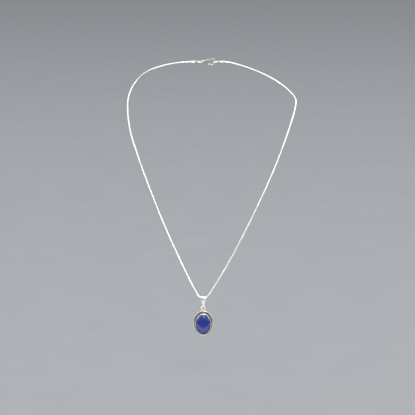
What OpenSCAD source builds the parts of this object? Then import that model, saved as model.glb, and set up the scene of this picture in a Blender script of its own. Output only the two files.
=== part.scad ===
// Pendant necklace: an oval blue cabochon in a silver setting, on a round snake chain with a lobster clasp.
// The necklace is shaped as it is worn. The origin is at the nape, in the middle of the clasp.
// +Z is up, +X is to the right for somebody facing the pendant, and the pendant faces -Y.

/* [Chain] */
// Outside diameter of the round snake chain
chain_d = 1.2; // [1.0:0.05:1.2]

/* [Stone and setting] */
// Width of the stone at its base
stone_w = 10.7; // [10:0.1:11.5]
// Height of the stone at its base, as it hangs
stone_h = 15; // [13.5:0.1:16]
// Thickness of the stone from its flat base to its crown
stone_t = 3.6; // [3.4:0.1:4.5]
// Width of the border from the edge of the stone to the outside of the frame
border_w = 1.95; // [1.85:0.05:2.3]
// Width of the outer frame's rim
rim_w = 0.8; // [0.75:0.05:0.9]
// Height of the outer frame's rim, front to back
rim_t = 1.1; // [1.0:0.05:1.3]
// Thickness of the back plate
plate_t = 0.6; // [0.5:0.05:0.8]
// Thickness of the bezel's wall
bezel_wall = 0.45; // [0.4:0.05:0.5]

/* [Bail and loop] */
// Diameter of the hanging loop's wire
loop_wire = 0.8; // [0.7:0.05:0.8]
// Diameter of the hanging loop, through the middle of its wire
loop_d = 2.9; // [2.8:0.1:3.2]
// Thickness of the bail's sheet
bail_sheet = 0.45; // [0.4:0.05:0.5]
// Distance from the top bend of the bail to its bottom fold
bail_drop = 6.1; // [6:0.1:7]
// Width of the bail at its top
bail_w = 3.6; // [3.4:0.1:4]

/* [Clasp] */
// Thickness of the claw, front to back
claw_t = 2; // [1.8:0.1:2]
// Diameter of the jump rings' wire
ring_wire = 0.7; // [0.6:0.05:0.7]
// Diameter of the jump rings, through the middle of the wire
ring_d = 3.8; // [3.8:0.1:4]
// Diameter of the lever's pin
pin_d = 0.6; // [0.5:0.05:0.6]

/* [Hidden] */
$fn = 64;
silver = "silver";
gap = 0.05;        // daylight between pieces that only lie beside each other
overlap = 0.1;     // how far a cutting shape runs past the face that it cuts

// ---- Chain ----
CHAIN_SIDES = 8;
CHAIN_STEPS = 2;   // rings from one route point to the next
// The loop as worn lies near a plane, and no stretch of the chain runs along this normal to it
LOOP_NORMAL = [0, 0.82, -0.57];
// Left end cap, left side of the neck, down the chest, U in the bail, up the chest, right side, right end cap
route = [
    [-10, 0, 0], [-14, 0, 0], [-22, -1.6, -0.4], [-33, -6.6, -1.7], [-42.5, -14.5, -3.7],
    [-48.6, -24, -6.1], [-52.4, -34, -8.9], [-55.8, -43, -13.4], [-58, -51, -19.8], [-58, -58.5, -28],
    [-56.3, -65.5, -39], [-50.3, -73.8, -57.5], [-42.4, -81.2, -78], [-32, -89.8, -102.7], [-20.4, -98, -127.2],
    [-12, -103.3, -143.6], [-8.5, -105.1, -149.9],
    [-6.9, -105.8, -152.5], [-5.9, -106.2, -153.6], [-4.5, -106.4, -154.35], [-3, -106.5, -154.6],
    [-1.5, -106.4, -154.35], [-0.1, -106.2, -153.6], [0.9, -105.8, -152.5],
    [2.6, -105.1, -150.1], [7, -103.4, -143.5],
    [17, -98, -127.2], [28.3, -91.2, -106.8], [38.9, -84.2, -86.3], [48.5, -76.8, -65.8], [56, -69.7, -47.5],
    [61, -61.8, -34.4], [64, -54.5, -26], [65, -48, -21.8], [64, -42, -19.7], [60.5, -32, -16.8],
    [53, -20, -12.2], [41.5, -9.8, -7.4], [27, -2.8, -2.8], [14, 0, 0], [10, 0, 0]
];
last = len(route) - 1;
low_point = route[20];

// ---- Pendant, placed from the chain's low point ----
pivot_lift = 0.3;                    // height of the chain's middle above the middle of the bail's top bend
bail_top_in = 1.4;                   // inside radius of the top bend
bail_fold_in = 0.62;                 // inside radius of the bottom fold
bail_x = low_point[0];
bail_y = low_point[1];
bail_z = low_point[2] - pivot_lift;
loop_z = bail_z - bail_drop - loop_d / 2;
solder = 0.25;                       // how far the loop's wire runs into the frame's rim
setting_z = loop_z - loop_d / 2 - loop_wire / 2 + solder - (stone_h / 2 + border_w);
setting_back_y = bail_y + rim_t / 2;
OVAL_SIDES = 72;
bezel_in = gap;                      // inside of the bezel's wall, from the edge of the stone
bezel_out = bezel_in + bezel_wall;
bezel_t = 3.9;                       // height of the bezel's lip over the back of the setting
seat_w = 0.9;                        // width of the ledge under the stone
seat_top = plate_t + 1.6;
DOME_LEVELS = 12;
dome_power = 3;                      // 2 is an ellipse, and more is flatter on top with steeper shoulders

// ---- Clasp, placed from the eyes of the end caps ----
eye_x = 8.05;                        // middle of each cap's eye, left and right of the nape
eye_r = 1.1;
eye_hole = 0.6;
eye_t = 0.8;
cup_in_x = 9.2;                      // end of the cup towards the eye
cup_floor_x = 10;                    // bottom of the cup's bore, where the chain ends
cup_out_x = 13;
cup_r = 0.95;
cup_bore = 0.65;
claw_x = ring_d - eye_x;             // hole in the foot of the claw
hook_x = 7.6;                        // middle of the hook's round end, from the claw's foot
hook_r = 2.7;
hook_in = 1.85;
foot_r = 1.15;
foot_t = 0.9;
heel_x = 5.6;                        // left end of the hook's opening, from the claw's foot
heel_z = -0.2;
heel_in = 1.2;
mouth = [4.9, 7.6];                  // start and end of the gap that the lever closes
slot_w = 1.1;
slot_floor = -1;
slot_start = 1.7;
pin_x = 3;
pin_z = 0.3;
lever_t = 0.9;
gate_t = 1.7;
lever_hole = pin_d / 2 + 0.04;
spring_x = 4.25;
spring_r = 0.4;
spring_wall = 0.14;
spring_top = 0.3;

function direction(i) = (route[i + 1] - route[i]) / norm(route[i + 1] - route[i]);
function reach(i) = norm(route[i + 1] - route[i]);
function heading(i) = i == 0 ? direction(0)
    : i == last ? direction(last - 1)
    : (direction(i - 1) * reach(i) + direction(i) * reach(i - 1)) / (reach(i - 1) + reach(i));

// Place on the smooth curve through the route's points, t of the way from point i to the next
function on_route(i, t) =
    (2 * t ^ 3 - 3 * t ^ 2 + 1) * route[i] + (t ^ 3 - 2 * t ^ 2 + t) * reach(i) * heading(i)
    + (3 * t ^ 2 - 2 * t ^ 3) * route[i + 1] + (t ^ 3 - t ^ 2) * reach(i) * heading(i + 1);

centres = concat([for (i = [0:last - 1]) for (k = [0:CHAIN_STEPS - 1]) on_route(i, k / CHAIN_STEPS)],
                 [route[last]]);

function along(n) = n == 0 ? direction(0)
    : n == len(centres) - 1 ? direction(last - 1)
    : (centres[n + 1] - centres[n - 1]) / norm(centres[n + 1] - centres[n - 1]);
function side(n) = cross(LOOP_NORMAL, along(n)) / norm(cross(LOOP_NORMAL, along(n)));
function ring_points(n) = [for (k = [0:CHAIN_SIDES - 1]) let (a = 360 * k / CHAIN_SIDES)
    centres[n] + chain_d / 2 * (cos(a) * side(n) + sin(a) * cross(along(n), side(n)))];

// Corners of an oval, its half width and half height each made larger by grow
function oval(grow) = [for (k = [0:OVAL_SIDES - 1]) let (a = 360 * k / OVAL_SIDES)
    [(stone_w / 2 + grow) * cos(a), (stone_h / 2 + grow) * sin(a)]];

// Puts a shape drawn with X to the right, Y up and Z to the front into the setting's place
module in_setting() {
    translate([bail_x, setting_back_y, setting_z]) rotate([90, 0, 0]) children();
}

// Ring that follows the oval. Each point of the profile is [distance outside the stone's edge, height]
module oval_ring(profile) {
    count = len(profile);
    points = [for (k = [0:OVAL_SIDES - 1]) for (p = profile)
        [oval(p[0])[k][0], oval(p[0])[k][1], p[1]]];
    faces = [for (k = [0:OVAL_SIDES - 1]) for (j = [0:count - 1]) let (m = (k + 1) % OVAL_SIDES, i = (j + 1) % count)
        [k * count + j, k * count + i, m * count + i, m * count + j]];
    polyhedron(points, faces, convexity = 4);
}

// Flat shape in the XZ plane, given its thickness along Y
module upright(thickness) {
    rotate([90, 0, 0]) linear_extrude(thickness, center = true) children();
}

module upright_pin(radius, length) {
    rotate([90, 0, 0]) cylinder(r = radius, h = length, center = true);
}

module chain() {
    rings = len(centres);
    points = [for (n = [0:rings - 1]) each ring_points(n)];
    walls = [for (n = [0:rings - 2]) for (k = [0:CHAIN_SIDES - 1]) let (m = (k + 1) % CHAIN_SIDES)
        [n * CHAIN_SIDES + k, (n + 1) * CHAIN_SIDES + k, (n + 1) * CHAIN_SIDES + m, n * CHAIN_SIDES + m]];
    start = [for (k = [0:CHAIN_SIDES - 1]) k];
    end = [for (k = [CHAIN_SIDES - 1:-1:0]) (rings - 1) * CHAIN_SIDES + k];
    color("gainsboro") polyhedron(points, concat([start], walls, [end]), convexity = 8);
}

// Cup that holds the chain's end, and a flat eye for the jump ring. Drawn for the right side.
module end_cap() {
    color(silver) difference() {
        union() {
            translate([cup_in_x, 0, 0]) rotate([0, 90, 0]) cylinder(r = cup_r, h = cup_out_x - cup_in_x);
            translate([eye_x, 0, 0]) upright_pin(eye_r, eye_t);
            translate([(eye_x + cup_in_x) / 2 + 0.3, 0, 0]) cube([1.2, eye_t, 1.2], center = true);
        }
        translate([cup_floor_x, 0, 0]) rotate([0, 90, 0]) cylinder(r = cup_bore, h = cup_out_x - cup_floor_x + overlap);
        translate([eye_x, 0, 0]) upright_pin(eye_hole, eye_t + 2 * overlap);
    }
}

module end_cap_left() { mirror([1, 0, 0]) end_cap(); }
module end_cap_right() { end_cap(); }

module jump_ring(x) {
    color(silver) translate([x, 0, 0]) rotate_extrude() translate([ring_d / 2, 0]) circle(r = ring_wire / 2);
}

module clasp_ring() { jump_ring(ring_d / 2 - eye_x); }
module catch_ring() { jump_ring(eye_x - ring_d / 2); }

// Claw: foot with a hole for the jump ring, two cheeks with the lever between them, and the hook
module clasp_body() {
    color(silver) translate([claw_x, 0, 0]) difference() {
        union() {
            upright(foot_t) hull() {
                circle(r = foot_r);
                translate([slot_start, 0]) circle(r = foot_r);
            }
            upright(claw_t) hull() {
                translate([slot_start + 0.5, 0]) circle(r = 1.4);
                translate([hook_x, 0]) circle(r = hook_r);
            }
        }
        upright_pin(eye_hole, foot_t + 2 * overlap);
        upright(claw_t + 2 * overlap) hull() {
            translate([hook_x, 0]) circle(r = hook_in);
            translate([heel_x, heel_z]) circle(r = heel_in);
        }
        upright(claw_t + 2 * overlap)
            translate([mouth[0], 0]) square([mouth[1] - mouth[0], hook_r + overlap]);
        upright(slot_w)
            translate([slot_start, slot_floor]) square([heel_x - slot_start, hook_r - slot_floor + overlap]);
        translate([pin_x, 0, pin_z]) upright_pin(pin_d / 2, claw_t + 2 * overlap);
    }
}

// Lever: hub on the pin, gate across the mouth, and the tab that a fingernail presses
module clasp_lever() {
    color(silver) translate([claw_x, 0, 0]) difference() {
        union() {
            translate([pin_x, 0, pin_z]) upright_pin(0.7, lever_t);
            upright(lever_t) hull() {
                translate([3.3, 0.55]) circle(r = 0.38);
                translate([5.2, 1.4]) circle(r = 0.4);
            }
            upright(gate_t) hull() {
                translate([5.6, 1.55]) circle(r = 0.4);
                translate([7, 2]) circle(r = 0.35);
            }
            upright(lever_t) hull() {
                translate([4.3, 1.1]) circle(r = 0.35);
                translate([3.9, 2.9]) circle(r = 0.3);
            }
        }
        translate([pin_x, 0, pin_z]) upright_pin(lever_hole, lever_t + 2 * overlap);
    }
}

module clasp_pin() {
    color("gainsboro") translate([claw_x + pin_x, 0, pin_z]) upright_pin(pin_d / 2, claw_t);
}

// Outer shape of the small coil that stands under the lever
module clasp_spring() {
    color("gray") translate([claw_x + spring_x, 0, slot_floor]) difference() {
        cylinder(r = spring_r, h = spring_top - slot_floor);
        translate([0, 0, -overlap]) cylinder(r = spring_r - spring_wall, h = spring_top - slot_floor + 2 * overlap);
    }
}

// Side view of the bail: a strip bent over the chain and folded round the loop
module bail_side() {
    difference() {
        hull() {
            circle(r = bail_top_in + bail_sheet);
            translate([0, -bail_drop]) circle(r = bail_fold_in + bail_sheet);
        }
        hull() {
            circle(r = bail_top_in);
            translate([0, -bail_drop]) circle(r = bail_fold_in);
        }
    }
}

// Front view of the bail: a leaf that narrows from its top to its tip
module bail_front() {
    half = bail_w / 2;
    polygon([[-half, 2.2], [-half, -0.2], [-1.3, -2.8], [-0.85, -5.2], [-0.35, -7.8],
             [0.35, -7.8], [0.85, -5.2], [1.3, -2.8], [half, -0.2], [half, 2.2]]);
}

module bail() {
    color("gainsboro") translate([bail_x, bail_y, bail_z]) intersection() {
        rotate([90, 0, 90]) linear_extrude(bail_w + 2, center = true) bail_side();
        upright(2 * (bail_top_in + bail_sheet) + 2) bail_front();
    }
}

module hanging_loop() {
    color(silver) translate([bail_x, bail_y, loop_z]) rotate([90, 0, 0]) rotate_extrude()
        translate([loop_d / 2, 0]) circle(r = loop_wire / 2);
}

module outer_frame() {
    out = border_w;
    in = border_w - rim_w;
    color(silver) in_setting() oval_ring([
        [in, 0], [out - 0.12, 0], [out, 0.15], [out, rim_t - 0.4], [out - 0.15, rim_t - 0.12],
        [out - rim_w / 2, rim_t], [in + 0.15, rim_t - 0.12], [in, rim_t - 0.4]
    ]);
}

module back_plate() {
    color("darkgray") in_setting() linear_extrude(plate_t) polygon(oval(border_w - rim_w));
}

module bezel() {
    color("gainsboro") in_setting() oval_ring([
        [bezel_in, plate_t], [bezel_out, plate_t], [bezel_out, bezel_t - 1.2], [bezel_out - 0.1, bezel_t - 0.6],
        [bezel_out - 0.3, bezel_t - 0.2], [0.05, bezel_t], [-0.1, bezel_t], [-0.1, bezel_t - 0.15],
        [-0.02, bezel_t - 0.4], [bezel_in, bezel_t - 0.7]
    ]);
}

module seat_ring() {
    color("darkgray") in_setting() oval_ring([
        [-seat_w, plate_t], [bezel_in, plate_t], [bezel_in, seat_top], [-seat_w, seat_top]
    ]);
}

// Cabochon: flat base, steep shoulders and a gently domed crown
module stone() {
    sizes = [for (n = [0:DOME_LEVELS - 1]) let (a = 90 * n / DOME_LEVELS)
        [cos(a) ^ (2 / dome_power), stone_t * sin(a) ^ (2 / dome_power)]];
    points = concat([for (s = sizes) for (c = oval(0)) [c[0] * s[0], c[1] * s[0], seat_top + s[1]]],
                    [[0, 0, seat_top + stone_t]]);
    crown = len(points) - 1;
    base = [for (k = [0:OVAL_SIDES - 1]) k];
    walls = [for (n = [0:DOME_LEVELS - 2]) for (k = [0:OVAL_SIDES - 1]) let (m = (k + 1) % OVAL_SIDES)
        [n * OVAL_SIDES + k, (n + 1) * OVAL_SIDES + k, (n + 1) * OVAL_SIDES + m, n * OVAL_SIDES + m]];
    top = [for (k = [0:OVAL_SIDES - 1])
        [crown - OVAL_SIDES + k, crown, crown - OVAL_SIDES + (k + 1) % OVAL_SIDES]];
    color("midnightblue") in_setting() polyhedron(points, concat([base], walls, top), convexity = 2);
}

chain();
end_cap_left();
end_cap_right();
clasp_ring();
clasp_body();
clasp_lever();
clasp_pin();
clasp_spring();
catch_ring();
bail();
hanging_loop();
outer_frame();
back_plate();
bezel();
seat_ring();
stone();
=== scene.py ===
"""Looks of the pendant necklace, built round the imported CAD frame.

Every piece is modelled at one unit per millimetre, in the CAD's frame, and is brought to metres when it is
done: +Z up, the pendant facing -Y, and the origin in the middle of the clasp at the nape.
"""

import logging
import math
from dataclasses import dataclass
from enum import Enum
from typing import Callable, Sequence, Union

import bmesh
import bpy
from mathutils import Matrix, Vector


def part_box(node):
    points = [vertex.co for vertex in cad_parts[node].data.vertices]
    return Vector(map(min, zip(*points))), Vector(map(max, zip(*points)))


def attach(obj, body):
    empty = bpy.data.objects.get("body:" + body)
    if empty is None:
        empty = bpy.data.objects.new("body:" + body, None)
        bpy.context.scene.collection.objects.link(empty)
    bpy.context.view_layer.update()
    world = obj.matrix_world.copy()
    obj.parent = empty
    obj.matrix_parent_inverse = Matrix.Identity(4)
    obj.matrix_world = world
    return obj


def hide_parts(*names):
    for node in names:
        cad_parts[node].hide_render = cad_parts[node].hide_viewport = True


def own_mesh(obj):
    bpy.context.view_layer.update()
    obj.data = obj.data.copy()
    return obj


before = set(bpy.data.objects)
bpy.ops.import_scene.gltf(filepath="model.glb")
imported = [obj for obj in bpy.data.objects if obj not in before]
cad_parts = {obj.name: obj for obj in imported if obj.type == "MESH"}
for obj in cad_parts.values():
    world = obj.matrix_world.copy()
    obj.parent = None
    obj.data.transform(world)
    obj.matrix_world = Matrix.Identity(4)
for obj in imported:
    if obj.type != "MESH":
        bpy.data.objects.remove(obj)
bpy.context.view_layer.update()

MM = 0.001
log = logging.getLogger("necklace")

Point = tuple[float, float, float]
InputValue = Union[float, Sequence[float], bpy.types.NodeSocket]


# ---------------------------------------------------------------- bench: modelling steps that pieces share


class Axis(Enum):
    """The direction that a turned piece is built along."""

    X = 0
    Y = 1
    Z = 2

    def rotation(self) -> Point:
        """Returns the turn that faces a flat circle along this axis."""
        return {Axis.X: (0, math.pi / 2, 0), Axis.Y: (math.pi / 2, 0, 0), Axis.Z: (0, 0, 0)}[self]

    def move(self, along: float) -> Point:
        """Returns a step of the given length along this axis."""
        return tuple(along if i == self.value else 0.0 for i in range(3))

    def spread(self, first: float, second: float) -> Point:
        """Works out scale factors that leave this axis alone.

        Args:
            first: Factor for the first direction across the axis.
            second: Factor for the second.

        Returns:
            The factors in X, Y, Z order.
        """
        factors = [first, second]
        factors.insert(self.value, 1.0)
        return tuple(factors)


class Ends(Enum):
    """How a turned piece is closed."""

    RING = "the last station joins the first"
    CAPS = "a flat face at each end"
    CROWN = "a flat face at the start and a point at the end"


@dataclass(frozen=True)
class Lobe:
    """The round end of a plate: the place of its middle in the XZ plane and its radius, in millimetres."""

    x: float
    z: float
    radius: float


@dataclass(frozen=True)
class Station:
    """One outline of a turned piece: half sizes across the axis and place along it, in millimetres."""

    first: float
    second: float
    along: float


def deselect() -> None:
    """Leaves nothing selected, because operators act on all that is."""
    bpy.ops.object.select_all(action="DESELECT")


def take(obj: bpy.types.Object) -> None:
    """Makes one object the only selected and the active one.

    Args:
        obj: The object.
    """
    deselect()
    obj.select_set(True)
    bpy.context.view_layer.objects.active = obj


def new_circle(name: str, centre: Point, radius: float, sides: int, axis: Axis,
               fill: str) -> bpy.types.Object:
    """Adds a circle at its place and opens it for editing, with all of it selected.

    Args:
        name: The piece's name.
        centre: Middle of the circle, in millimetres.
        radius: Radius in millimetres.
        sides: Number of corners.
        axis: The direction that the circle faces.
        fill: NOTHING for an outline or NGON for a disc.

    Returns:
        The new object, in edit mode.
    """
    deselect()
    bpy.ops.mesh.primitive_circle_add(vertices=sides, radius=radius, fill_type=fill, location=centre,
                                      rotation=axis.rotation())
    obj = bpy.context.active_object
    obj.name = name
    bpy.ops.object.transform_apply(location=True, rotation=True, scale=True)
    bpy.ops.object.mode_set(mode="EDIT")
    bpy.ops.mesh.select_all(action="SELECT")
    return obj


def pick(obj: bpy.types.Object, test: Callable[[Vector], bool]) -> None:
    """Selects the corners that pass a test, in edit mode.

    Args:
        obj: The object being edited.
        test: Takes a corner's place and says whether it is wanted.
    """
    mesh = bmesh.from_edit_mesh(obj.data)
    for part in (mesh.faces, mesh.edges, mesh.verts):
        for element in part:
            element.select = False
    for vert in mesh.verts:
        vert.select = test(vert.co)
    mesh.select_flush(True)
    bmesh.update_edit_mesh(obj.data)


def step(move: Point, factors: Point, centre: Point) -> None:
    """Extrudes the selected outline, then scales it.

    Args:
        move: How far the outline is extruded.
        factors: Scale factors in X, Y, Z order.
        centre: The point that it is scaled about.
    """
    bpy.ops.mesh.extrude_region_move(TRANSFORM_OT_translate={"value": move})
    if factors != (1.0, 1.0, 1.0):
        bpy.ops.transform.resize(value=factors, center_override=centre)


def close_up() -> None:
    """Merges doubled corners, turns all faces outwards and leaves edit mode."""
    bpy.ops.mesh.select_all(action="SELECT")
    bpy.ops.mesh.remove_doubles(threshold=0.0005)
    bpy.ops.mesh.normals_make_consistent(inside=False)
    bpy.ops.object.mode_set(mode="OBJECT")


def turned(name: str, centre: Point, axis: Axis, stations: Sequence[Station], sides: int,
           ends: Ends) -> bpy.types.Object:
    """Builds a round or oval piece by extruding one outline through its stations.

    Args:
        name: The piece's name.
        centre: The point that the stations are measured from, in millimetres.
        axis: The direction that the stations lie along.
        stations: The outlines in order.
        sides: Corners in each outline.
        ends: How the piece is closed.

    Returns:
        The finished mesh object, still at one unit per millimetre.
    """
    first = stations[0]
    fill = "NOTHING" if ends is Ends.RING else "NGON"
    obj = new_circle(name, centre, 1.0, sides, axis, fill)
    bpy.ops.transform.resize(value=axis.spread(first.first, first.second), center_override=centre)
    bpy.ops.transform.translate(value=axis.move(first.along))
    route = list(stations) + ([first] if ends is Ends.RING else [])
    for before, after in zip(route, route[1:]):
        factors = axis.spread(after.first / before.first, after.second / before.second)
        step(axis.move(after.along - before.along), factors, centre)
    if ends is Ends.CROWN:
        bpy.ops.mesh.merge(type="CENTER")
    close_up()
    return obj


def bent_wire(name: str, centre: Point, axis: Axis, out: Point, radius: float, wire: float,
              degrees: float = 360.0, steps: int = 72) -> bpy.types.Object:
    """Bends a round wire into a ring by spinning its section.

    Args:
        name: The piece's name.
        centre: Middle of the ring, in millimetres.
        axis: The direction that the ring faces.
        out: Unit vector from the centre towards the start of the wire.
        radius: Radius to the middle of the wire.
        wire: Radius of the wire.
        degrees: Less than 360 leaves the wire's two ends facing each other.
        steps: Sections round the ring.

    Returns:
        The ring, at one unit per millimetre.
    """
    section_faces = next(a for a in Axis if a is not axis and abs(out[a.value]) < 0.5)
    start = tuple(c + radius * o for c, o in zip(centre, out))
    whole = degrees >= 360.0
    obj = new_circle(name, start, wire, 20, section_faces, "NOTHING" if whole else "NGON")
    bpy.ops.mesh.spin(steps=steps, angle=math.radians(degrees), center=centre, axis=axis.move(1.0))
    close_up()
    return obj


def plate(name: str, near: Lobe, far: Lobe, thickness: float, origin: Point) -> bpy.types.Object:
    """Cuts a plate with two round ends, of different sizes, lying in the XZ plane.

    Args:
        name: The piece's name.
        near: The end that is moved and resized from a copy of the far one.
        far: The other end.
        thickness: Thickness along Y.
        origin: The point that both ends are measured from.

    Returns:
        The plate, at one unit per millimetre.
    """
    middle = Vector((origin[0] + far.x, origin[1] - thickness / 2, origin[2] + far.z))
    towards = Vector((near.x - far.x, 0.0, near.z - far.z))
    obj = new_circle(name, tuple(middle), far.radius, 48, Axis.Y, "NGON")
    pick(obj, lambda place: (place - middle).dot(towards) > 0.02 * far.radius)
    factor = near.radius / far.radius
    bpy.ops.transform.resize(value=(factor, 1.0, factor), center_override=tuple(middle))
    bpy.ops.transform.translate(value=tuple(towards))
    bpy.ops.mesh.select_all(action="SELECT")
    step((0.0, thickness, 0.0), (1.0, 1.0, 1.0), tuple(middle))
    close_up()
    return obj


def block(name: str, low: Point, high: Point) -> bpy.types.Object:
    """Adds a box that is used as a cutter.

    Args:
        name: The box's name.
        low: Its lowest corner, in millimetres.
        high: Its highest corner.

    Returns:
        The box, at one unit per millimetre.
    """
    deselect()
    middle = [(a + b) / 2 for a, b in zip(low, high)]
    bpy.ops.mesh.primitive_cube_add(size=1.0, location=middle)
    obj = bpy.context.active_object
    obj.name = name
    obj.scale = [b - a for a, b in zip(low, high)]
    bpy.ops.object.transform_apply(location=True, rotation=True, scale=True)
    return obj


def modify(obj: bpy.types.Object, kind: str, **settings: object) -> None:
    """Adds a modifier and applies it.

    Args:
        obj: The piece.
        kind: The modifier's type.
        **settings: The modifier's properties.
    """
    take(obj)
    modifier = obj.modifiers.new(kind.title(), kind)
    for key, value in settings.items():
        setattr(modifier, key, value)
    bpy.ops.object.modifier_apply(modifier=modifier.name)


def combine(target: bpy.types.Object, tool: bpy.types.Object, operation: str) -> None:
    """Adds a tool's shape to a target or cuts it away, and removes the tool."""
    modify(target, "BOOLEAN", operation=operation, object=tool, solver="EXACT")
    bpy.data.objects.remove(tool)


def drill(target: bpy.types.Object, place: Point, radius: float, depth: float, sides: int) -> None:
    """Drills a round hole along Y, right through a piece.

    Args:
        target: The piece.
        place: A point on the hole's axis, in millimetres.
        radius: Radius of the hole.
        depth: How far the drill reaches to each side of the place.
        sides: Corners round the hole.
    """
    ends = [Station(radius, radius, along) for along in (-depth, depth)]
    combine(target, turned("drill", place, Axis.Y, ends, sides, Ends.CAPS), "DIFFERENCE")


def mark(mesh: bpy.types.Mesh, name: str, values: Sequence[float]) -> None:
    """Gives a mesh a value for each corner, which its material reads by name."""
    mesh.attributes.new(name, "FLOAT", "POINT").data.foreach_set("value", values)


def soften(obj: bpy.types.Object, voxel: float, passes: int, kept: float) -> None:
    """Melts a built-up shape into one cast piece with rounded edges.

    Args:
        obj: The piece.
        voxel: Size of the remesh's cells, in millimetres.
        passes: Smoothing passes.
        kept: Share of the faces that is kept afterwards.
    """
    modify(obj, "REMESH", mode="VOXEL", voxel_size=voxel, use_smooth_shade=True)
    modify(obj, "SMOOTH", factor=0.5, iterations=passes)
    modify(obj, "DECIMATE", ratio=kept)


def to_metres(obj: bpy.types.Object, smooth_angle: float) -> None:
    """Brings a finished piece from millimetres to metres, with its place in its mesh, and shades it smooth.

    Args:
        obj: The piece.
        smooth_angle: Edges sharper than this many degrees stay crisp.
    """
    take(obj)
    obj.matrix_world = Matrix.Scale(MM, 4) @ obj.matrix_world
    bpy.ops.object.transform_apply(location=True, rotation=True, scale=True)
    bpy.ops.object.shade_smooth_by_angle(angle=math.radians(smooth_angle))


def cad_box(node: str) -> tuple[Vector, Vector]:
    """Returns the lowest and highest corner of a CAD node, in millimetres."""
    low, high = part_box(node)
    return low / MM, high / MM


def middle_of(node: str) -> Vector:
    """Returns the middle of a CAD node's box, in millimetres."""
    low, high = cad_box(node)
    return (low + high) / 2


def arc(u: float, v: float, radius: float, start: float, stop: float,
        steps: int) -> list[tuple[float, float]]:
    """Returns points on an arc.

    Args:
        u: First coordinate of the arc's middle.
        v: Second coordinate of the arc's middle.
        radius: Radius.
        start: Angle of the first point, in degrees.
        stop: Angle of the last point, in degrees.
        steps: Number of steps between them.

    Returns:
        The points in order, both ends among them.
    """
    angles = [math.radians(start + (stop - start) * k / steps) for k in range(steps + 1)]
    return [(u + radius * math.cos(a), v + radius * math.sin(a)) for a in angles]


# ---------------- finishes


def linear(colour: str) -> tuple[float, float, float, float]:
    """Turns an sRGB hex colour into the linear values that a shader takes."""
    parts = [int(colour[i:i + 2], 16) / 255 for i in (1, 3, 5)]
    return (*[p / 12.92 if p <= 0.04045 else ((p + 0.055) / 1.055) ** 2.4 for p in parts], 1.0)


def add_node(tree: bpy.types.NodeTree, kind: str, inputs: dict[Union[str, int], InputValue],
             **settings: object) -> bpy.types.Node:
    """Adds a node with its settings, its fixed inputs and its links.

    Args:
        tree: The material's node tree.
        kind: The node's type.
        inputs: Socket name or number, with a constant or the socket that feeds it.
        **settings: Properties of the node itself.

    Returns:
        The new node.
    """
    node = tree.nodes.new(kind)
    for key, value in settings.items():
        setattr(node, key, value)
    for key, value in inputs.items():
        if isinstance(value, bpy.types.NodeSocket):
            tree.links.new(value, node.inputs[key])
        else:
            node.inputs[key].default_value = value
    return node


def blank_material(name: str) -> tuple[bpy.types.Material, bpy.types.NodeTree]:
    """Starts a material with an empty node tree.

    Args:
        name: The material's name.

    Returns:
        The material and its node tree.
    """
    material = bpy.data.materials.new(name)
    material.use_nodes = True
    material.node_tree.nodes.clear()
    return material, material.node_tree


@dataclass(frozen=True)
class Metal:
    """Worked silver: its colour, how it clouds with handling, and the marks of its polishing.

    cloud_mm is the size of the patches where the polish is duller, and mark_mm the spacing of the fine
    marks, which are drawn coarser than real polishing hairlines so that they show. marks_along stretches
    them into scratches along one axis. The crevice colour is painted shade, laid where the mesh's own
    crevice attribute is set, in grooves and corners where shade falls.
    """

    name: str
    colour: str
    shade: str
    roughness: tuple[float, float]
    cloud_mm: float
    mark_mm: float
    mark_depth_mm: float
    marks_along: Point = (1.0, 1.0, 1.0)
    crevice: str = ""

    def build(self) -> bpy.types.Material:
        """Returns the finished material."""
        material, tree = blank_material(self.name)
        place = add_node(tree, "ShaderNodeTexCoord", {}).outputs["Object"]
        clouds = add_node(tree, "ShaderNodeTexNoise",
                          {"Vector": place, "Scale": 1 / (self.cloud_mm * MM), "Detail": 4.0,
                           "Roughness": 0.6})
        patches = add_node(tree, "ShaderNodeMapRange", {"Value": clouds.outputs["Fac"], "From Min": 0.35,
                                                        "From Max": 0.7}, clamp=True)
        colour = add_node(tree, "ShaderNodeMix",
                          {0: patches.outputs["Result"], 6: linear(self.colour), 7: linear(self.shade)},
                          data_type="RGBA").outputs[2]
        # Painted shade: darkens the colour in the grooves that the crevice attribute marks
        if self.crevice:
            depth = add_node(tree, "ShaderNodeAttribute", {}, attribute_name="crevice")
            colour = add_node(tree, "ShaderNodeMix",
                              {0: depth.outputs["Fac"], 6: colour, 7: linear(self.crevice)},
                              data_type="RGBA").outputs[2]
        stretched = add_node(tree, "ShaderNodeMapping", {"Vector": place, "Scale": self.marks_along})
        marks = add_node(tree, "ShaderNodeTexNoise", {"Vector": stretched.outputs["Vector"],
                                                      "Scale": 1 / (self.mark_mm * MM), "Detail": 2.0})
        uneven = add_node(tree, "ShaderNodeMath", {0: clouds.outputs["Fac"], 1: marks.outputs["Fac"]},
                          operation="MULTIPLY")
        roughness = add_node(tree, "ShaderNodeMapRange",
                             {"Value": uneven.outputs[0], "From Min": 0.1, "From Max": 0.45,
                              "To Min": self.roughness[0], "To Max": self.roughness[1]}, clamp=True)
        bump = add_node(tree, "ShaderNodeBump", {"Height": marks.outputs["Fac"], "Strength": 0.5,
                                                 "Distance": self.mark_depth_mm * MM})
        shader = add_node(tree, "ShaderNodeBsdfPrincipled",
                          {"Base Color": colour, "Metallic": 1.0, "Roughness": roughness.outputs["Result"],
                           "Normal": bump.outputs["Normal"]})
        add_node(tree, "ShaderNodeOutputMaterial", {"Surface": shader.outputs["BSDF"]})
        return material


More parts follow.
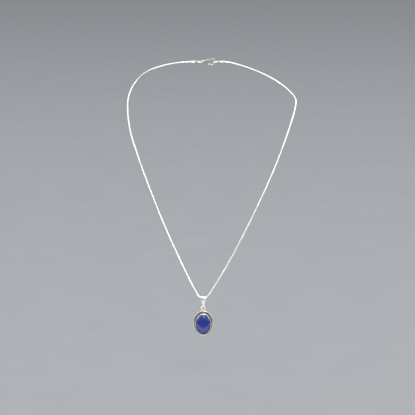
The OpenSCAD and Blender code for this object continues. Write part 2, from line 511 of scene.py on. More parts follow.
@dataclass(frozen=True)
class PolishedStone:
    """Opaque blue chalcedony, cut as a cabochon and polished with oxide.

    The eye sees one deep blue with slow cloudy changes, and a wet gloss on top. vein_mm is the size of
    the clouds and grain_mm that of the mineral's grain, which shows only as a faint mottle. The edge colour
    is painted shade: the mesh's edge attribute deepens the colour where the shoulder goes down into the
    bezel and gets little light.
    """

    name: str
    colour: str
    deep: str
    light: str
    edge: str
    vein_mm: float
    grain_mm: float
    roughness: float
    ior: float
    grain_depth_mm: float = 0.004

    def build(self) -> bpy.types.Material:
        """Returns the finished material."""
        material, tree = blank_material(self.name)
        place = add_node(tree, "ShaderNodeTexCoord", {}).outputs["Object"]
        veins = add_node(tree, "ShaderNodeTexNoise",
                         {"Vector": place, "Scale": 1 / (self.vein_mm * MM), "Detail": 5.0,
                          "Distortion": 0.8})
        ramp = add_node(tree, "ShaderNodeValToRGB", {"Fac": veins.outputs["Fac"]})
        ramp.color_ramp.elements[0].position = 0.36
        ramp.color_ramp.elements[0].color = linear(self.deep)
        ramp.color_ramp.elements[1].position = 0.66
        ramp.color_ramp.elements[1].color = linear(self.light)
        ramp.color_ramp.elements.new(0.5).color = linear(self.colour)
        grain = add_node(tree, "ShaderNodeTexNoise",
                         {"Vector": place, "Scale": 1 / (self.grain_mm * MM), "Detail": 3.0})
        mottle = add_node(tree, "ShaderNodeMapRange",
                          {"Value": grain.outputs["Fac"], "From Min": 0.35, "From Max": 0.65,
                           "To Min": 0.0, "To Max": 0.25}, clamp=True)
        colour = add_node(tree, "ShaderNodeMix",
                          {0: mottle.outputs["Result"], 6: ramp.outputs["Color"], 7: linear(self.deep)},
                          data_type="RGBA").outputs[2]
        # Painted shade: darker towards the bezel, where the edge attribute is set
        edge = add_node(tree, "ShaderNodeAttribute", {}, attribute_name="edge")
        colour = add_node(tree, "ShaderNodeMix", {0: edge.outputs["Fac"], 6: colour, 7: linear(self.edge)},
                          data_type="RGBA").outputs[2]
        bump = add_node(tree, "ShaderNodeBump", {"Height": grain.outputs["Fac"], "Strength": 0.1,
                                                 "Distance": self.grain_depth_mm * MM})
        shader = add_node(tree, "ShaderNodeBsdfPrincipled",
                          {"Base Color": colour, "Roughness": self.roughness, "IOR": self.ior,
                           "Normal": bump.outputs["Normal"]})
        add_node(tree, "ShaderNodeOutputMaterial", {"Surface": shader.outputs["BSDF"]})
        return material


@dataclass(frozen=True)
class StudioPaper:
    """Matt pale paper of a studio table: nearly even, with a soft mottle."""

    name: str
    colour: str
    shade: str
    mottle_mm: float

    def build(self) -> bpy.types.Material:
        """Returns the finished material."""
        material, tree = blank_material(self.name)
        place = add_node(tree, "ShaderNodeTexCoord", {}).outputs["Object"]
        mottle = add_node(tree, "ShaderNodeTexNoise", {"Vector": place, "Scale": 1 / (self.mottle_mm * MM)})
        colour = add_node(tree, "ShaderNodeMix", {0: mottle.outputs["Fac"], 6: linear(self.colour),
                                                  7: linear(self.shade)}, data_type="RGBA").outputs[2]
        shader = add_node(tree, "ShaderNodeBsdfPrincipled", {"Base Color": colour, "Roughness": 0.9})
        add_node(tree, "ShaderNodeOutputMaterial", {"Surface": shader.outputs["BSDF"]})
        return material


class Finishes:
    """Every finish of the necklace, each built once."""

    def __init__(self) -> None:
        """Builds the materials."""
        # Bright-dipped silver chain: the links rub each other to a mirror, and the crevice colour is painted
        # shade between them
        self.chain = Metal("silver_snake_chain_burnished", "#f2f3f2", "#d8d9d8", (0.16, 0.28), 3.0, 0.25,
                           0.002, crevice="#8f9193").build()
        # Sheet tumbled with steel shot until it shines: warm white with a soft gloss and faint hairlines
        self.tumbled = Metal("sterling_silver_tumbled_bright", "#c0bdb5", "#a5a199", (0.2, 0.34), 1.6, 0.14,
                             0.004, marks_along=(1.0, 1.0, 0.2)).build()
        # Wire and castings polished by hand on a wheel: warm white, mirror-like with faint hairlines
        self.polished = Metal("sterling_silver_wheel_polished", "#efece4", "#d3cfc6", (0.1, 0.24), 1.8, 0.12,
                              0.003, marks_along=(1.0, 1.0, 0.2)).build()
        # Soldered and pickled setting, polished less: greyer, with softer reflections
        self.setting = Metal("sterling_silver_satin_polished", "#d2d0cf", "#b2afb0", (0.2, 0.34), 1.5, 0.1,
                             0.004).build()
        # Plate soldered in from behind: satin at the back, with painted shade on its front where it shows in
        # the groove
        self.plate = Metal("sterling_silver_satin_dark_groove", "#dedcda", "#bbb8b7", (0.24, 0.4), 1.5, 0.1,
                           0.004, crevice="#6b6866").build()
        # Silver left dark by liver of sulphur under the stone
        self.oxidised = Metal("sterling_silver_oxidised_brushed", "#94918f", "#5f5c5a", (0.3, 0.5), 0.9,
                              0.08, 0.006, marks_along=(0.25, 1.0, 1.0)).build()
        # Hard-drawn spring wire: grey, with drawing lines along it
        self.spring = Metal("stainless_spring_wire_drawn", "#a7a8aa", "#808183", (0.25, 0.4), 0.6, 0.05,
                            0.002).build()
        # Opaque deep-blue cabochon, polished until it is glassy; its last colour is painted shade along the
        # shoulder by the bezel
        self.stone = PolishedStone("blue_chalcedony_polished", "#0a206e", "#0c1258", "#0e2979", "#090a26",
                                   5.0, 0.35, 0.05, 1.54).build()
        # Neutral grey paper that the floor is covered with
        self.paper = StudioPaper("studio_paper_matt", "#7d7f82", "#787a7d", 40.0).build()


def finish_piece(obj: bpy.types.Object, body: str, nodes: Sequence[str],
                 material: bpy.types.Material, smooth_angle: float = 40.0) -> None:
    """Brings a piece to metres, dresses it and ties it to its CAD body.

    Args:
        obj: The piece, at one unit per millimetre.
        body: The CAD body that it rides on.
        nodes: The CAD nodes that it stands for.
        material: Its finish.
        smooth_angle: Edges sharper than this many degrees stay crisp.
    """
    to_metres(obj, smooth_angle)
    obj.data.materials.clear()
    obj.data.materials.append(material)
    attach(obj, body)
    if nodes:
        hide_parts(*nodes)
    log.info("piece %s: %d faces, rides on %s", obj.name, len(obj.data.polygons), body)


# ---------------- chain


# The chain's route, in millimetres: left end cap, left side of the neck, down the chest, the U in the bail,
# up the chest, right side of the neck, right end cap
ROUTE: list[Point] = [
    (-10, 0, 0), (-14, 0, 0), (-22, -1.6, -0.4), (-33, -6.6, -1.7), (-42.5, -14.5, -3.7),
    (-48.6, -24, -6.1), (-52.4, -34, -8.9), (-55.8, -43, -13.4), (-58, -51, -19.8), (-58, -58.5, -28),
    (-56.3, -65.5, -39), (-50.3, -73.8, -57.5), (-42.4, -81.2, -78), (-32, -89.8, -102.7),
    (-20.4, -98, -127.2), (-12, -103.3, -143.6), (-8.5, -105.1, -149.9),
    (-6.9, -105.8, -152.5), (-5.9, -106.2, -153.6), (-4.5, -106.4, -154.35), (-3, -106.5, -154.6),
    (-1.5, -106.4, -154.35), (-0.1, -106.2, -153.6), (0.9, -105.8, -152.5),
    (2.6, -105.1, -150.1), (7, -103.4, -143.5),
    (17, -98, -127.2), (28.3, -91.2, -106.8), (38.9, -84.2, -86.3), (48.5, -76.8, -65.8), (56, -69.7, -47.5),
    (61, -61.8, -34.4), (64, -54.5, -26), (65, -48, -21.8), (64, -42, -19.7), (60.5, -32, -16.8),
    (53, -20, -12.2), (41.5, -9.8, -7.4), (27, -2.8, -2.8), (14, 0, 0), (10, 0, 0),
]
# Square to the sloping plane that the chain's loop lies near: the outlines are set from it
LOOP_NORMAL: Point = (0.0, 0.82, -0.57)


@dataclass
class SnakeChain:
    """Round snake chain: thin wavy rings, each locked into the next, swept along the route."""

    finishes: Finishes
    diameter: float = 1.2
    pitch: float = 0.72
    groove: float = 0.055
    land: float = 0.22
    wave: float = 0.12
    waves: int = 4
    sides: int = 24
    samples: int = 60

    def heading(self, points: Sequence[Vector], i: int) -> Vector:
        """Works out the chain's direction at a route point, weighted to the nearer neighbour.

        Args:
            points: The route's points.
            i: The number of the point.

        Returns:
            The direction, close to unit length.
        """
        before = points[i] - points[i - 1] if i > 0 else points[1] - points[0]
        after = points[i + 1] - points[i] if i < len(points) - 1 else points[i] - points[i - 1]
        mixed = before.normalized() * after.length + after.normalized() * before.length
        return mixed / (before.length + after.length)

    def centreline(self) -> list[Vector]:
        """Returns many points on the smooth curve through the route."""
        points = [Vector(p) for p in ROUTE]
        line: list[Vector] = []
        for i in range(len(points) - 1):
            span = (points[i + 1] - points[i]).length
            leave, arrive = self.heading(points, i) * span, self.heading(points, i + 1) * span
            for k in range(self.samples):
                t = k / self.samples
                line.append((2 * t**3 - 3 * t**2 + 1) * points[i] + (t**3 - 2 * t**2 + t) * leave
                            + (3 * t**2 - 2 * t**3) * points[i + 1] + (t**3 - t**2) * arrive)
        return line + [points[-1]]

    def at_lengths(self, line: Sequence[Vector], lengths: Sequence[float]) -> list[tuple[Vector, Vector]]:
        """Returns the place and the direction of the centreline at each length along it.

        Args:
            line: The centreline's points.
            lengths: Rising distances from the start, in millimetres.

        Returns:
            A place and a unit direction for each length.
        """
        found: list[tuple[Vector, Vector]] = []
        gone, k = 0.0, 0
        for length in lengths:
            while k < len(line) - 2 and gone + (line[k + 1] - line[k]).length < length:
                gone += (line[k + 1] - line[k]).length
                k += 1
            direction = (line[k + 1] - line[k]).normalized()
            found.append((line[k] + direction * (length - gone), direction))
        return found

    def rings(self, length: float, links: int) -> list[tuple[float, float, float, int]]:
        """Lists the chain's outlines from end to end: three for each link, and one that closes the last.

        Args:
            length: The chain's length, in millimetres.
            links: The number of links.

        Returns:
            Distance from the start, radius, amount of painted shade and number of the link, for each
            outline.
        """
        ridge, valley = self.diameter / 2, self.diameter / 2 - self.groove
        # The valley outline carries full painted shade, the ridges none
        shape = [(0.0, valley, 1.0), (self.land, ridge, 0.0), (1 - self.land, ridge, 0.0)]
        rings = [((n + part) * length / links, radius, dark, n)
                 for n in range(links) for part, radius, dark in shape]
        return rings + [(length, valley, 1.0, links)]

    def corners(self, found: Sequence[tuple[Vector, Vector]],
                rings: Sequence[tuple[float, float, float, int]], links: int) -> list[Vector]:
        """Sets the corners of every outline, waved along the chain so that each link locks into the next.

        Args:
            found: Place and direction of the centreline at each outline.
            rings: The outlines, from rings().
            links: The number of links.

        Returns:
            The corners, outline by outline.
        """
        places: list[Vector] = []
        for (place, along), (_, radius, _, link) in zip(found, rings):
            across = Vector(LOOP_NORMAL).cross(along).normalized()
            up = along.cross(across)
            turn = math.pi / self.waves * (link % 2)
            inside = 0 < link < links - 1
            for side in range(self.sides):
                angle = 2 * math.pi * side / self.sides
                shift = self.wave * math.cos(self.waves * (angle + turn)) if inside else 0.0
                outward = math.cos(angle) * across + math.sin(angle) * up
                places.append(place + radius * outward + shift * along)
        return places

    def build(self) -> None:
        line = self.centreline()
        length = sum((b - a).length for a, b in zip(line, line[1:]))
        links = round(length / self.pitch)
        rings = self.rings(length, links)
        found = self.at_lengths(line, [ring[0] for ring in rings])
        faces = [(r * self.sides + k, r * self.sides + (k + 1) % self.sides,
                  (r + 1) * self.sides + (k + 1) % self.sides, (r + 1) * self.sides + k)
                 for r in range(len(rings) - 1) for k in range(self.sides)]
        faces.append(tuple(range(self.sides - 1, -1, -1)))
        faces.append(tuple((len(rings) - 1) * self.sides + k for k in range(self.sides)))
        mesh = bpy.data.meshes.new("snake_chain")
        mesh.from_pydata([tuple(place) for place in self.corners(found, rings, links)], [], faces)
        # Painted shade: the crevice mark darkens the valley between links
        mark(mesh, "crevice", [ring[2] for ring in rings for _ in range(self.sides)])
        obj = bpy.data.objects.new("snake_chain", mesh)
        bpy.context.scene.collection.objects.link(obj)
        finish_piece(obj, "chain", ["chain"], self.finishes.chain, 60.0)
        log.info("chain: %d links, %.1f mm long", links, length)


# ---------------- clasp


@dataclass
class EndCap:
    """Cup soldered to the chain's end, with a flat eye for a jump ring."""

    finishes: Finishes
    side: float
    lip: float = 0.14
    eye_hole: float = 0.6
    eye_r: float = 1.1
    bore: float = 0.62
    bore_depth: float = 3.0
    eye_half: float = 0.4
    neck_overlap: float = 0.15

    def build(self) -> None:
        """Builds and dresses the cap, at the left for a side of -1 and at the right for 1."""
        node = "end_cap_left" if self.side < 0 else "end_cap_right"
        low, high = cad_box(node)
        eye = Vector((self.side * (min(abs(low.x), abs(high.x)) + self.eye_r), 0.0, 0.0))
        mouth = self.side * max(abs(low.x), abs(high.x))
        cup_r = (high.y - low.y) / 2
        neck_x = eye.x + self.side * (self.eye_r - self.neck_overlap)
        length = abs(mouth - neck_x)
        profile = [(0.42, 0.0), (0.5, 0.05), (0.62, 0.3), (cup_r - 0.12, 0.42), (cup_r - 0.03, 0.55)]
        profile += [(cup_r - 0.07, 0.9), (cup_r - 0.07, length - 0.55), (cup_r - 0.02, length - 0.42)]
        profile += [(cup_r, length - 0.25), (cup_r - 0.04, length - 0.06), (cup_r - self.lip, length)]
        profile += [(self.bore + 0.06, length - 0.04), (self.bore, length - 0.12)]
        profile += [(self.bore, length - self.bore_depth)]
        stations = [Station(r, r, self.side * x) for r, x in profile]
        cup = turned(f"chain_{node}", (neck_x, 0.0, 0.0), Axis.X, stations, 40, Ends.CAPS)
        eye_ring = turned("eye", tuple(eye), Axis.Y, self.eye_stations(), 40, Ends.RING)
        take(cup)
        eye_ring.select_set(True)
        bpy.ops.object.join()
        finish_piece(cup, "chain", [node], self.finishes.polished)

    def eye_stations(self) -> list[Station]:
        """Returns the outline of the flat eye: a ring with rounded edges."""
        inner, outer, half = self.eye_hole, self.eye_r, self.eye_half
        profile = [(inner, -half + 0.1), (inner + 0.08, -half), (outer - 0.1, -half), (outer, -half + 0.12)]
        profile += [(outer, half - 0.12), (outer - 0.1, half), (inner + 0.08, half), (inner, half - 0.1)]
        return [Station(r, r, y) for r, y in profile]


@dataclass
class Clasp:
    """Small lobster clasp with its lever, pin and coil, and the two jump rings that it works between.

    Measures are in millimetres, and places are measured from the middle of the hole in the claw's foot.
    """

    finishes: Finishes
    foot_end: Lobe = Lobe(0.0, 0.0, 1.15)
    foot_root: Lobe = Lobe(1.7, 0.0, 1.15)
    foot_hole: float = 0.6
    foot_t: float = 0.9
    cheek: Lobe = Lobe(2.2, 0.0, 1.38)
    hook: Lobe = Lobe(7.6, 0.0, 2.68)
    heel: Lobe = Lobe(5.6, -0.2, 1.2)
    hook_inside: Lobe = Lobe(7.6, 0.0, 1.85)
    claw_t: float = 1.96
    mouth: tuple[float, float] = (4.9, 7.6)
    slot: tuple[float, float] = (1.7, 5.6)
    slot_w: float = 1.1
    arm: tuple[Lobe, Lobe] = (Lobe(3.3, 0.55, 0.38), Lobe(5.2, 1.4, 0.4))
    hub: tuple[Lobe, Lobe] = (Lobe(2.99, 0.3, 0.7), Lobe(3.01, 0.3, 0.7))
    gate: tuple[Lobe, Lobe] = (Lobe(5.6, 1.55, 0.4), Lobe(7.0, 2.0, 0.35))
    tab: tuple[Lobe, Lobe] = (Lobe(4.3, 1.1, 0.35), Lobe(3.9, 2.9, 0.3))
    lever_t: float = 0.9
    gate_t: float = 1.6
    pin_r: float = 0.3
    pin_play: float = 0.04
    claw_voxel: float = 0.08
    lever_voxel: float = 0.05
    coil_wire: float = 0.065
    coil_turns: int = 5
    coil_sides: int = 10
    coil_steps: int = 24

    def foot(self) -> Point:
        """Returns the middle of the hole in the claw's foot."""
        low, _ = cad_box("clasp_body")
        return (low.x + self.foot_end.radius, 0.0, 0.0)

    def jump_ring(self, name: str, node: str, body: str) -> None:
        """Bends one jump ring, with its sawn ends meeting at the back.

        Args:
            name: The piece's name.
            node: The CAD node that it stands for.
            body: The CAD body that it rides on.
        """
        low, high = cad_box(node)
        wire = (high.z - low.z) / 2
        radius = (high.x - low.x) / 2 - wire
        ring = bent_wire(name, tuple(middle_of(node)), Axis.Z, (0.0, 1.0, 0.0), radius, wire, 358.2)
        finish_piece(ring, body, [node], self.finishes.polished, 50.0)

    def claw(self) -> None:
        """Casts the claw: foot, cheeks and hook in one piece, with the slot and the mouth cut out."""
        foot = self.foot()
        tall = self.claw_t + 1.0
        top = self.hook.radius + 1
        claw = plate("clasp_claw", self.cheek, self.hook, self.claw_t, foot)
        combine(claw, plate("foot", self.foot_end, self.foot_root, self.foot_t, foot), "UNION")
        combine(claw, plate("heel", self.heel, self.hook_inside, tall, foot), "DIFFERENCE")
        mouth_from, mouth_to = (foot[0] + x for x in self.mouth)
        combine(claw, block("mouth", (mouth_from, -tall, 0.0), (mouth_to, tall, top)), "DIFFERENCE")
        half = self.slot_w / 2
        slot_from, slot_to = (foot[0] + x for x in self.slot)
        combine(claw, block("slot", (slot_from, -half, -1.0), (slot_to, half, top)), "DIFFERENCE")
        soften(claw, self.claw_voxel, 6, 0.5)
        drill(claw, tuple(middle_of("clasp_pin")), self.pin_r, tall, 32)
        drill(claw, foot, self.foot_hole, tall, 40)
        finish_piece(claw, "claw", ["clasp_body"], self.finishes.polished, 50.0)

    def lever(self) -> None:
        """Casts the lever: hub, arm, gate and thumb tab in one piece, with its hole drilled."""
        foot = self.foot()
        lever = plate("clasp_gate_lever", *self.arm, self.lever_t, foot)
        arms = [("hub", self.hub, self.lever_t), ("gate", self.gate, self.gate_t),
                ("tab", self.tab, self.lever_t)]
        for name, ends, thickness in arms:
            combine(lever, plate(name, *ends, thickness, foot), "UNION")
        soften(lever, self.lever_voxel, 5, 0.5)
        drill(lever, tuple(middle_of("clasp_pin")), self.pin_r + self.pin_play, 1.0, 32)
        finish_piece(lever, "lever", ["clasp_lever"], self.finishes.polished, 50.0)

    def pin(self) -> None:
        """Turns the lever's pin, with its heads peened to low domes."""
        half = self.claw_t / 2
        profile = [(0.1, -half - 0.02), (0.22, -half), (self.pin_r, -half + 0.07), (self.pin_r, half - 0.07),
                   (0.22, half), (0.1, half + 0.02)]
        stations = [Station(r, r, y) for r, y in profile]
        pin = turned("lever_pin", tuple(middle_of("clasp_pin")), Axis.Y, stations, 32, Ends.CAPS)
        finish_piece(pin, "claw", ["clasp_pin"], self.finishes.polished)

    def coil(self) -> None:
        """Winds the coil under the lever, which is pressed down as the lever opens."""
        low, high = cad_box("clasp_spring")
        wire, turns = self.coil_wire, self.coil_turns
        radius = (high.x - low.x) / 2 - wire
        base = Vector(((low.x + high.x) / 2, 0.0, low.z + wire))
        deselect()
        bpy.ops.mesh.primitive_circle_add(vertices=self.coil_sides, radius=wire, location=(0, 0, 0),
                                          rotation=Axis.Y.rotation())
        coil = bpy.context.active_object
        coil.name = "lever_coil"
        bpy.ops.object.transform_apply(location=True, rotation=True, scale=True)
        bpy.ops.object.mode_set(mode="EDIT")
        bpy.ops.mesh.select_all(action="SELECT")
        bpy.ops.transform.translate(value=(radius, 0.0, 0.0))
        bpy.ops.object.mode_set(mode="OBJECT")
        modify(coil, "SCREW", angle=2 * math.pi, screw_offset=(high.z - low.z - 2 * wire) / turns,
               iterations=turns, steps=self.coil_steps, render_steps=self.coil_steps)
        bpy.ops.object.mode_set(mode="EDIT")
        bpy.ops.mesh.select_all(action="DESELECT")
        bpy.ops.mesh.select_non_manifold()
        bpy.ops.mesh.edge_face_add()
        close_up()
        coil.location = base
        finish_piece(coil, "claw", ["clasp_spring"], self.finishes.spring, 60.0)
        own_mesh(coil)

    def build(self) -> None:
        """Builds every piece of the clasp."""
        self.jump_ring("foot_jump_ring", "clasp_ring", "clasp_link")
        self.jump_ring("catch_jump_ring", "catch_ring", "catch")
        self.claw()
        self.lever()
        self.pin()
        self.coil()


# ---------------- pendant


@dataclass
class Bail:
    """Tapered leaf of sheet, bent over the chain and folded shut round the hanging loop."""

    finishes: Finishes
    sheet: float = 0.45
    top_in: float = 1.4
    fold_in: float = 0.62
    drop: float = 6.1
    crown: float = 0.09
    crown_share: float = 0.35
    edge_round: float = 0.09
    columns: int = 8
    widths: tuple[tuple[float, float], ...] = ((-7.8, 0.35), (-5.2, 0.85), (-2.8, 1.3), (-0.2, 1.8),
                                               (2.2, 1.8))

    def half_width(self, z: float) -> float:
        """Works out how wide the tapered leaf is.

        Args:
            z: Height over the middle of the top bend, in millimetres.

        Returns:
            Half the leaf's width there.
        """
        for (z0, w0), (z1, w1) in zip(self.widths, self.widths[1:]):
            if z <= z1:
                return w0 + (w1 - w0) * (z - z0) / (z1 - z0)
        return self.widths[-1][1]

    def strip(self) -> list[tuple[float, float]]:
        """Returns Y and Z of the strip's middle line: up the front, over, down the back, round the fold."""
        top, fold = self.top_in + self.sheet / 2, self.fold_in + self.sheet / 2
        lean = math.degrees(math.asin((top - fold) / self.drop))
        over = arc(0.0, 0.0, top, 180 + lean, -lean, 18)
        under = arc(0.0, -self.drop, fold, -lean, lean - 180, 12)
        front_low, back_high, back_low = under[-1], over[-1], under[0]
        front = [tuple(a + (b - a) * k / 6 for a, b in zip(front_low, over[0])) for k in range(6)]
        back = [tuple(a + (b - a) * k / 6 for a, b in zip(back_high, back_low)) for k in range(1, 6)]
        return front + over + back + under

    def build(self) -> None:
        """Bends and dresses the bail."""
        low, high = cad_box("bail")
        middle = Vector(((low.x + high.x) / 2, (low.y + high.y) / 2, high.z - self.top_in - self.sheet))
        line = self.strip()
        start = middle + Vector((0.0, *line[0]))
        deselect()
        bpy.ops.mesh.primitive_grid_add(x_subdivisions=self.columns, y_subdivisions=1, size=2.0,
                                        location=start)
        obj = bpy.context.active_object
        obj.name = "bail_leaf"
        bpy.ops.object.transform_apply(location=True, rotation=True, scale=True)
        bpy.ops.object.mode_set(mode="EDIT")
        pick(obj, lambda place: place.y > start.y)
        bpy.ops.mesh.delete(type="VERT")
        bpy.ops.mesh.select_all(action="SELECT")
        bpy.ops.transform.translate(value=(0.0, 1.0, 0.0))
        width = self.half_width(line[0][1])
        bpy.ops.transform.resize(value=(width, 1.0, 1.0), center_override=tuple(start))
        for (y0, z0), (y1, z1) in zip(line, line[1:]):
            new_width = self.half_width(z1)
            step((0.0, y1 - y0, z1 - z0), (new_width / width, 1.0, 1.0), tuple(middle))
            width = new_width
        close_up()
        bpy.ops.object.mode_set(mode="EDIT")
        share = self.crown_share
        pick(obj, lambda place: abs(place.x - middle.x) < share * self.half_width(place.z - middle.z))
        bpy.ops.transform.shrink_fatten(value=self.crown)
        bpy.ops.object.mode_set(mode="OBJECT")
        modify(obj, "SOLIDIFY", thickness=self.sheet, offset=0.0, use_even_offset=True)
        modify(obj, "BEVEL", width=self.edge_round, segments=3, limit_method="ANGLE",
               angle_limit=math.radians(50))
        modify(obj, "SUBSURF", levels=1, render_levels=1)
        finish_piece(obj, "bail", ["bail"], self.finishes.tumbled, 60.0)


@dataclass
class Setting:
    """Oval bezel setting: loop, border, plate, bezel and stone. Heights run forwards from the back."""

    finishes: Finishes
    rim_w: float = 0.8
    rim_t: float = 1.1
    plate_t: float = 0.6
    bezel_in: float = 0.05
    bezel_wall: float = 0.45
    bezel_t: float = 3.9
    lip: float = -0.1
    stone_base: float = 2.2
    dome_power: float = 3.0
    # The next three set the band of painted shade on the stone's shoulder, down by the bezel
    under_lip: float = 0.2
    edge_band: float = 1.1
    edge_power: float = 1.5
    levels: int = 26
    sides: int = 128

    def __post_init__(self) -> None:
        """Reads the stone's size and the setting's place from the frame."""
        low, high = cad_box("stone")
        self.half_w, self.half_h = (high.x - low.x) / 2, (high.z - low.z) / 2
        self.stone_t = high.y - low.y
        frame_low, frame_high = cad_box("outer_frame")
        self.border = (frame_high.x - frame_low.x) / 2 - self.half_w
        centre = (frame_low + frame_high) / 2
        self.back = (centre.x, frame_high.y, centre.z)

    def oval(self, name: str, profile: Sequence[tuple[float, float]], ends: Ends) -> bpy.types.Object:
        """Turns an oval piece that keeps to the stone's outline.

        Args:
            name: The piece's name.
            profile: How far each outline stands outside the stone's, and its height over the back.
            ends: How the ends are closed.

        Returns:
            The piece, at one unit per millimetre.
        """
        stations = [Station(self.half_w + grow, self.half_h + grow, -height) for grow, height in profile]
        return turned(name, self.back, Axis.Y, stations, self.sides, ends)

    def loop(self) -> None:
        """Bends the hanging loop."""
        low, high = cad_box("hanging_loop")
        wire = (high.y - low.y) / 2
        radius = (high.x - low.x) / 2 - wire
        place = tuple(middle_of("hanging_loop"))
        ring = bent_wire("hanging_loop_wire", place, Axis.Y, (0.0, 0.0, -1.0), radius, wire)
        finish_piece(ring, "pendant", ["hanging_loop"], self.finishes.polished, 60.0)

    def solder(self) -> None:
        """Flows the solder that joins the loop to the border, waisted between the two."""
        _, rim_top = cad_box("outer_frame")
        _, loop_low = cad_box("hanging_loop")
        foot = (self.back[0], self.back[1] - self.rim_t / 2, rim_top.z)
        stations = [Station(1.25, 0.42, -0.42), Station(1.05, 0.45, -0.2), Station(0.74, 0.42, 0.02),
                    Station(0.6, 0.4, 0.14), Station(0.62, 0.34, 0.26), Station(0.5, 0.2, 0.34)]
        seam = turned("solder_fillet", foot, Axis.Z, stations, 32, Ends.CAPS)
        modify(seam, "SUBSURF", levels=1, render_levels=1)
        finish_piece(seam, "pendant", [], self.finishes.setting, 80.0)

    def rim(self) -> None:
        """Bends the border: a flat-backed wire with a rounded front."""
        outer, inner = self.border, self.border - self.rim_w
        half = self.rim_w / 2
        shoulder = self.rim_t - half
        front = arc(outer - half, shoulder, half, 0, 180, 12)
        profile = [(inner, 0.06), (inner + 0.06, 0.0), (outer - 0.12, 0.0), (outer, 0.12), *front]
        ring = self.oval("border_rim", profile, Ends.RING)
        finish_piece(ring, "pendant", ["outer_frame"], self.finishes.setting, 50.0)

    def plate(self) -> None:
        """Cuts the back plate, a little below the edge of the border at the back."""
        grow = self.border - self.rim_w
        top = self.plate_t
        profile = [(grow - 0.12, 0.0), (grow, 0.05), (grow, top - 0.03), (grow - 0.04, top)]
        disc = self.oval("back_plate_sheet", profile, Ends.CAPS)
        # Painted shade: the crevice mark darkens the plate's front, seen in the groove between border and
        # bezel
        groove = [1.0 if self.back[1] - v.co.y > top - 0.05 else 0.0 for v in disc.data.vertices]
        mark(disc.data, "crevice", groove)
        finish_piece(disc, "pendant", ["back_plate"], self.finishes.plate)

    def bezel(self) -> None:
        """Raises the bezel and rolls its lip over the edge of the stone."""
        outer, top = self.bezel_in + self.bezel_wall, self.bezel_t
        profile = [(self.bezel_in, self.plate_t), (outer, self.plate_t), (outer, top - 1.2)]
        profile += [(outer - 0.02, top - 0.85), (outer - 0.07, top - 0.52), (outer - 0.16, top - 0.26),
                    (outer - 0.29, top - 0.09), (outer - 0.42, top - 0.02), (self.lip + 0.1, top),
                    (self.lip + 0.03, top - 0.02), (self.lip, top - 0.07), (self.lip, top - 0.16),
                    (-0.02, top - 0.4), (self.bezel_in, top - 0.7)]
        wall = self.oval("bezel_wall", profile, Ends.RING)
        finish_piece(wall, "pendant", ["bezel"], self.finishes.setting, 50.0)

    def stone(self) -> None:
        """Cuts the cabochon: flat base, steep shoulders and a gently domed crown."""
        stations = []
        for k in range(self.levels):
            angle = math.radians(90 * k / self.levels)
            share = math.cos(angle) ** (2 / self.dome_power)
            rise = self.stone_t * math.sin(angle) ** (2 / self.dome_power)
            stations.append(Station(self.half_w * share, self.half_h * share, -self.stone_base - rise))
        stations.append(Station(0.001 * self.half_w, 0.001 * self.half_h, -self.stone_base - self.stone_t))
        gem = turned("blue_cabochon", self.back, Axis.Y, stations, self.sides, Ends.CROWN)
        # Painted shade: the edge attribute darkens the shoulder where it goes down into the bezel and gets
        # little light
        band_start = self.back[1] - self.bezel_t + self.under_lip
        depths = [(band_start - v.co.y) / self.edge_band for v in gem.data.vertices]
        edge = [max(0.0, min(1.0, 1.0 - depth)) ** self.edge_power for depth in depths]
        mark(gem.data, "edge", edge)
        finish_piece(gem, "pendant", ["stone"], self.finishes.stone, 60.0)

    def build(self) -> None:
        """Builds every piece of the setting, and dresses the seat ring, which stays as the CAD has it."""
        self.loop()
        self.solder()
        self.rim()
        self.plate()
        self.bezel()
        self.stone()
        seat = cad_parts["seat_ring"]
        seat.data.materials.clear()
        seat.data.materials.append(self.finishes.oxidised)


# ---------------- studio


@dataclass(frozen=True)
class Softbox:
    """A rectangular soft light. Places and sizes are in metres, and glow is its radiance."""

    name: str
    place: Point
    aim: Point
    size: tuple[float, float]
    glow: float
    colour: str

    def build(self) -> None:
        """Adds the light, turned towards its aim. No view shows the panel itself."""
        deselect()
        bpy.ops.object.light_add(type="AREA", location=self.place)
        light = bpy.context.active_object
        light.name = self.name
        light.visible_camera = False
        light.data.shape = "RECTANGLE"
        light.data.size, light.data.size_y = self.size
        light.data.energy = self.glow * math.pi * self.size[0] * self.size[1]
        light.data.color = linear(self.colour)[:3]
        look = Vector(self.aim) - Vector(self.place)
        light.rotation_euler = look.to_track_quat("-Z", "Y").to_euler()


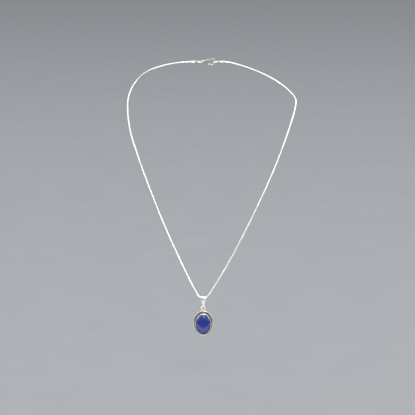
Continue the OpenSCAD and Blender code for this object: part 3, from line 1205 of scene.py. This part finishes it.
@dataclass
class Studio:
    """Camera, pale floor and soft lights. Places are in metres."""

    finishes: Finishes
    distance: float = 1.05
    elevation: float = 14.0
    aim: Point = (0.0, -0.079, -0.0946)
    view_width: float = 0.3009
    floor_z: float = -0.235
    floor_size: float = 9.0

    def camera(self) -> None:
        """Puts the camera in front of the necklace, looking slightly down."""
        aim = Vector(self.aim)
        angle = math.radians(self.elevation)
        back = Vector((0.0, -math.cos(angle), math.sin(angle)))
        data = bpy.data.cameras.new("camera")
        camera = bpy.data.objects.new("camera", data)
        bpy.context.scene.collection.objects.link(camera)
        camera.location = aim + back * self.distance
        camera.rotation_euler = (-back).to_track_quat("-Z", "Y").to_euler()
        data.sensor_width = 36.0
        data.lens = data.sensor_width * self.distance / self.view_width
        data.clip_start = 0.01
        data.clip_end = 100.0
        bpy.context.scene.camera = camera

    def floor(self) -> None:
        """Lays the pale floor below the pendant."""
        deselect()
        bpy.ops.mesh.primitive_plane_add(size=self.floor_size, location=(0.0, 0.0, self.floor_z))
        floor = bpy.context.active_object
        floor.name = "floor"
        floor.data.materials.append(self.finishes.paper)

    def lights(self) -> None:
        """Adds the soft lights and the dim room round them."""
        pendant = (-0.003, -0.11, -0.174)
        low = self.floor_z + 0.002
        boxes = [
            Softbox("key_softbox", (0.128, -1.046, 0.565), pendant, (0.33, 0.23), 23.0, "#fffcf6"),
            Softbox("roof_softbox", (0.0, 0.1, 1.7), (0.0, 0.1, 0.0), (2.6, 2.6), 2.1, "#ffffff"),
            Softbox("left_softbox", (-1.3, -0.3, 0.45), pendant, (0.3, 0.9), 6.0, "#f6f9ff"),
            Softbox("right_softbox", (1.3, -0.3, 0.45), pendant, (0.3, 0.9), 6.0, "#fffaf4"),
            Softbox("front_bounce", (0.0, -0.195, low), (0.0, -0.195, 1.0), (0.42, 0.125), 1.5, "#fffdfa"),
            Softbox("left_bounce", (-0.235, -0.13, low), (-0.235, -0.13, 1.0), (0.13, 0.4), 0.9, "#ffffff"),
            Softbox("right_bounce", (0.235, -0.13, low), (0.235, -0.13, 1.0), (0.13, 0.4), 0.9, "#ffffff"),
        ]
        for box in boxes:
            box.build()
        world = bpy.data.worlds.new("room")
        bpy.context.scene.world = world
        world.use_nodes = True
        background = world.node_tree.nodes["Background"]
        background.inputs["Color"].default_value = linear("#dcdee1")
        background.inputs["Strength"].default_value = 1.15
        bpy.context.scene.view_settings.view_transform = "Standard"

    def build(self) -> None:
        """Builds the whole studio."""
        self.camera()
        self.floor()
        self.lights()


def main() -> None:
    """Builds the studio, then the necklace from the chain inwards."""
    logging.basicConfig(level=logging.INFO, format="%(message)s")
    finishes = Finishes()
    Studio(finishes).build()
    SnakeChain(finishes).build()
    for side in (-1.0, 1.0):
        EndCap(finishes, side).build()
    Clasp(finishes).build()
    Bail(finishes).build()
    Setting(finishes).build()


if __name__ == "__main__":
    main()
